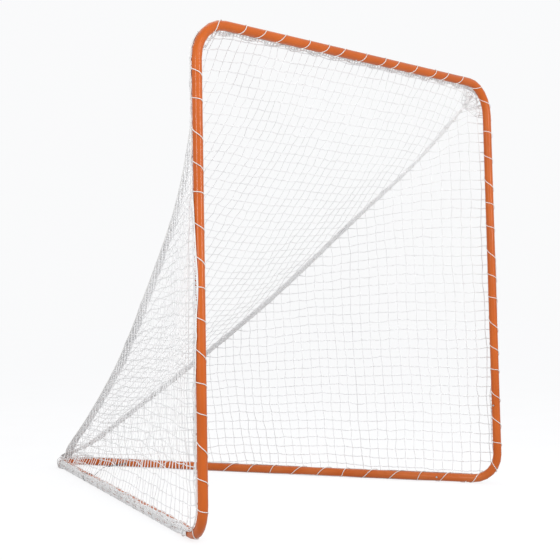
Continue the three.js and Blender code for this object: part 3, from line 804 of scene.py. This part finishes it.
# Net bunched and doubled round the outside of each rail, and round the rear bend.
def sleeve(name, start, end, low, high, strands, pitch):
    at = np.arange(start, end, 0.012)
    paths = []
    for k in range(strands):
        share = k / (strands - 1)
        wander = wavy(at, (0.10, 13 + 2 * k, k), (0.07, 37 - k, 2 * k))
        angle = low(at) + (high(at) - low(at)) * share + wander
        paths.append(beside(at, angle, TUBE + TWINE + 0.0003 + 0.0006 * (k % 2)))
    for k, a in enumerate(np.arange(start + 0.004, end - 0.012, pitch)):
        t = np.linspace(0, 1, 11)
        along = a + wavy(a, (0.004, 61, 0)) + 0.010 * t * (-1) ** k
        near = np.full(len(t), a)
        angle = low(near) + (high(near) - low(near)) * t
        paths.append(beside(along, angle, TUBE + TWINE + 0.0009))
    sweep(name, paths, TWINE, TWINE_SIDES, NET)


def uneven(value, size, shift):
    return lambda at: math.radians(value) + wavy(at, (size, 7, shift), (size / 2, 19, 2 * shift))


# The way the net leaves the rope at a post and at the crossbar, by its shares out and round.
LEAVE_POST, LEAVE_BAR = np.array([-0.387, 0.922]), np.array([-0.818, 0.575])


def off_rope(at, distance, lift):
    """Points of the net at a distance from the border rope: round the post first, then straight off."""
    point, out, round_way, rope = line_at(at)
    to_bar = np.clip((rope - POST_ROPE_ANGLE) / (BAR_ROPE_ANGLE - POST_ROPE_ANGLE), 0, 1)[:, None]
    leave = LEAVE_POST + (LEAVE_BAR - LEAVE_POST) * to_bar
    away = unit(leave[:, :1] * out + leave[:, 1:] * round_way)
    face = np.cross(away, LINE_WAY[np.clip(np.searchsorted(LINE_AT, at), 0, len(LINE) - 1)])
    wrap = np.maximum(0, NET_LEAVES - rope) * ROPE_REACH
    angle = (rope + np.minimum(distance, wrap) / ROPE_REACH)[:, None]
    radial = np.cos(angle) * out + np.sin(angle) * round_way
    straight = np.maximum(0, distance - wrap)[:, None]
    on_post = np.where(straight > 0, 0, np.abs(lift)[:, None])
    off_post = np.where(straight > 0, lift[:, None], 0)
    return point + (ROPE_REACH + on_post) * radial + away * straight + face * off_post


def selvage(name, start, end, width, rows=5, pitch=0.0085):
    """The net's doubled edge, from the border rope out along the net."""
    at = np.arange(start, end, 0.008)
    paths = []
    for k in range(rows):
        share = (k + 0.3) / (rows - 0.7)
        drift = wavy(at, (0.0020, 31 + 3 * k, k), (0.0014, 67 - 4 * k, 2 * k))
        lift = wavy(at, (0.0022, 23 + 5 * k, 2 * k), (0.0014, 59, k))
        paths.append(off_rope(at, share * width(at) + drift, lift))
    for k, a in enumerate(np.arange(start + 0.004, end - 0.016, pitch)):
        t = np.linspace(0, 1, 8)
        along = a + (0.008 if k % 2 else -0.002) * t
        bulge = 0.0025 * np.sin(math.pi * t) * (1 if k % 2 else -1)
        paths.append(off_rope(along, t * width(along), bulge))
    sweep(name, paths, TWINE, TWINE_SIDES, NET)


def bar_width(at):
    corner = np.exp(-(((np.abs(line_at(at)[0][:, 0]) - POST_X + 0.05) / 0.09) ** 2))
    onto_bar = np.clip((line_at(at)[3] - POST_ROPE_ANGLE) / (BAR_ROPE_ANGLE - POST_ROPE_ANGLE), 0.15, 1)
    return (0.026 + 0.020 * corner + 0.006 * np.cos(2 * math.pi * at / LACING_PITCH)) * onto_bar


def post_width(at):
    height = line_at(at)[0][:, 2]
    return 0.006 + 0.014 * np.clip((1.35 - height) / 0.4, 0, 1) + wavy(at, (0.002, 41, 0), (0.001, 17, 1))


selvage("bar_selvage", POST[-1][1] - 0.02, POST[1][0] + 0.02, bar_width)
selvage("left_post_selvage", POST[-1][0], POST[-1][1] - 0.02, post_width, 4)
selvage("right_post_selvage", POST[1][0] + 0.02, POST[1][1], post_width, 4)


BUNCH_STRANDS = 11
BUNCH_START = math.radians(-110)
BUNCH_TURN = 4.4
BUNCH_LAYER = 0.0045


def bunch(name, start, end):
    """Spare net drawn together round the rear bend."""
    at = np.arange(start, end, 0.006)
    paths = []
    for k in range(BUNCH_STRANDS):
        wander = wavy(at, (0.16, 19 + 3 * k, k), (0.12, 43 - k, 2 * k))
        angle = BUNCH_START + BUNCH_TURN * k / (BUNCH_STRANDS - 1) + wander
        swell = wavy(at, (0.0018, 29 + k, 3 * k), (0.0012, 71 - k, k))
        paths.append(beside(at, angle, TUBE + 0.0022 + BUNCH_LAYER * (k % 3) + swell))
    for k, a in enumerate(np.arange(start + 0.004, end - 0.016, 0.022)):
        t = np.linspace(0, 1, 16)
        along = a + 0.012 * t * (-1) ** k
        angle = BUNCH_START + BUNCH_TURN * t + 0.2 * math.sin(5.3 * k)
        reach = TUBE + 0.0030 + BUNCH_LAYER * (k % 3) + 0.0025 * np.sin(9 * t + k)
        paths.append(beside(along, angle, reach))
    sweep(name, paths, TWINE, TWINE_SIDES, NET)


bunch("left_rear_bunch", 0.002, RAILS[-1][0] + 0.05)
bunch("right_rear_bunch", RAILS[1][1] - 0.05, LENGTH - 0.002)


def lower_edge(side, foot_at):
    """The wrapped net's lower edge, which climbs the rail's outer side as it nears the foot."""
    rough = uneven(-105, 0.25, side)
    return lambda at: rough(at) + math.radians(62) * np.clip((0.34 - np.abs(at - foot_at)) / 0.28, 0, 1)


for side, name in ((-1, "left"), (1, "right")):
    a, b = RAILS[side]
    lower = lower_edge(side, b if side < 0 else a)
    sleeve(name + "_rail_sleeve", a + 0.01, b - 0.01, lower, uneven(62, 0.18, side + 1), 12, 0.0095)


# Rear tie: a cord loop round the right rail holds the steel hook, and a thin cable runs slack from the
# hook to a loop round the left rail. Its route repeats the CAD's.
TIE_SETBACK = {-1: 1.660, 1: 1.965}
TIE_CORD = 0.00125
TIE_WIRE = 0.0026
TIE_EYE = 0.012
TIE_LINK = 0.080
TIE_LINK_TURN = math.radians(8)
TIE_LINK_DROP = 0.017
TIE_SLACK = 0.008
TIE_LEAD = 0.040
TIE_SAG = 0.004
TIE_SIDES = 10
ROPE_BULGE = 0.007
GAP = 0.0004


def loop_round_rail(side, slack):
    rail, inward = handed(RAIL, side), -handed(RAIL_OUT, side)
    centre = handed(FOOT, side) + rail * TIE_SETBACK[side]
    angle = np.linspace(0, 2 * math.pi, 49)
    over_rope = np.maximum(0, np.cos(angle - math.pi + RAIL_ROPE_ANGLE))
    stand_off = slack * np.maximum(0, np.cos(angle)) ** 4
    reach = TUBE + 2 * GAP + TIE_CORD + ROPE_BULGE * over_rope**2 + stand_off
    way = np.cos(angle)[:, None] * inward + np.sin(angle)[:, None] * UP
    loop = centre + reach[:, None] * way + rail * (0.006 * angle / (2 * math.pi))[:, None]
    loop[:, 2] = np.maximum(loop[:, 2], TIE_CORD + 0.00005)
    return loop


def rear_tie():
    right_loop = loop_round_rail(1, TIE_SLACK)
    sweep("tie_loop", [right_loop], TIE_CORD, TIE_SIDES, CORD, replaces=["tie_cord_loop"])
    eye = FOOT + RAIL * TIE_SETBACK[1] - RAIL_OUT * (TUBE + GAP + TIE_WIRE + TIE_EYE)
    turn = Matrix.Rotation(TIE_LINK_TURN, 3, "Z")
    level = np.array(turn @ Vector(RAIL))
    span = unit(level * (TIE_EYE + TIE_LINK) - UP * TIE_LINK_DROP)
    bar = eye + span * (TIE_EYE + TIE_LINK)
    clear = TIE_WIRE + TIE_CORD + 2 * GAP
    over_bar = [
        bar + span * reach * clear + UP * rise
        for reach, rise in [(-1, -TIE_CORD), (-1, 0), (-0.7, 0.7 * clear), (0, clear), (0.7, 0.7 * clear)]
    ]
    left_loop = loop_round_rail(-1, 0)
    start, end = over_bar[-1], left_loop[0]
    t = np.linspace(0, 1, 41)[:, None]
    bent = start * (1 - t) ** 2 + 2 * (start + level * TIE_LEAD) * t * (1 - t) + end * t**2
    route = bent - UP * 4 * TIE_SAG * t * (1 - t)
    line = sweep("tie_line", [route], TIE_CORD, TIE_SIDES, WIRE, replaces=["tie_cable"])
    ends = [smooth_curve(over_bar, 24), left_loop]
    sweep("tie_line_ends", ends, TIE_CORD, TIE_SIDES, WIRE)


rear_tie()


# Floor and light.
def area_light(name, energy, size, at, target):
    data = bpy.data.lights.new(name, "AREA")
    data.energy = energy
    data.shape = "RECTANGLE"
    data.size, data.size_y = size
    lamp = bpy.data.objects.new(name, data)
    bpy.context.scene.collection.objects.link(lamp)
    lamp.location = at
    lamp.rotation_euler = (Vector(target) - Vector(at)).to_track_quat("-Z", "Y").to_euler()


area_light("left_strip", 50, (0.45, 2.2), (-4.27, mouth_y - 1.08, 1.95), (-POST_X, mouth_y, 1.3))
area_light("right_strip", 56, (0.45, 2.2), (0.46, mouth_y - 3.75, 1.95), (-POST_X, mouth_y, 1.3))
area_light("soft_front", 40, (3.0, 2.0), (-1.8, mouth_y - 4.2, 4.2), (-0.4, mouth_y, 1.4))
area_light("top", 30, (4.0, 4.0), (0.5, 0.5, 5.0), (0.0, 0.0, 0.5))

BACKDROP = (0.955, 0.958, 0.965, 1)
world = bpy.data.worlds.new("studio")
world.use_nodes = True
tree = world.node_tree
sky = tree.nodes["Background"]
sky.inputs["Color"].default_value = BACKDROP
sky.inputs["Strength"].default_value = 0.76
backdrop = tree.nodes.new("ShaderNodeBackground")
backdrop.inputs["Color"].default_value = BACKDROP
seen = tree.nodes.new("ShaderNodeLightPath")
either = tree.nodes.new("ShaderNodeMixShader")
tree.links.new(seen.outputs["Is Camera Ray"], either.inputs[0])
tree.links.new(sky.outputs[0], either.inputs[1])
tree.links.new(backdrop.outputs[0], either.inputs[2])
tree.links.new(either.outputs[0], tree.nodes["World Output"].inputs["Surface"])
bpy.context.scene.world = world
bpy.context.scene.view_settings.view_transform = "Standard"

floor_mesh = bmesh.new()
bmesh.ops.create_circle(floor_mesh, cap_ends=True, segments=96, radius=60)
floor_data = bpy.data.meshes.new("floor")
floor_mesh.to_mesh(floor_data)
floor_mesh.free()
floor = bpy.data.objects.new("floor", floor_data)
bpy.context.scene.collection.objects.link(floor)


def floor_paint():
    """Matt and pale: it glows brighter to the camera than it does as a light on the goal."""
    n = Nodes("floor")
    stops = [(0.2, (0.20, 0.20, 0.203)), (0.8, (0.22, 0.22, 0.223))]
    n.set(Base_Color=n.ramp(n.noise(position(n), 3, 3), stops), Roughness=0.95)
    n.shader.inputs["Specular IOR Level"].default_value = 0.0
    n.shader.inputs["Emission Color"].default_value = BACKDROP
    n.put(n.shader.inputs["Emission Strength"], n.grey(n("LightPath"), 0.50, 0.84))
    return n.material


floor_data.materials.append(floor_paint())


# CAD metal keeps its shape and gets its finish.
for name, node in frame["nodes"].items():
    if node.hide_render:
        continue
    steel = name.endswith("_snap_button") or name.endswith("_button_spring")
    finish = BRIGHT if steel else DARK if name == "tie_hook" else COAT
    node.data.materials.clear()
    node.data.materials.append(finish)
    weld = node.modifiers.new("weld", "WELD")
    weld.merge_threshold = 1e-5
    for polygon in node.data.polygons:
        polygon.use_smooth = True
    split = node.modifiers.new("split", "EDGE_SPLIT")
    split.split_angle = math.radians(34)


# Each button's spring is copied from its CAD spring into a leaf piece of its own, with its transform baked
# into the mesh, and the CAD spring is hidden.
for joint in frame["joints"]:
    spring_node = joint["child"] + "_spring"
    shape = frame["nodes"][spring_node].data.copy()
    strip = bpy.data.objects.new(spring_node.replace("button", "leaf"), shape)
    bpy.context.scene.collection.objects.link(strip)
    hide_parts(spring_node)
    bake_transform(strip)
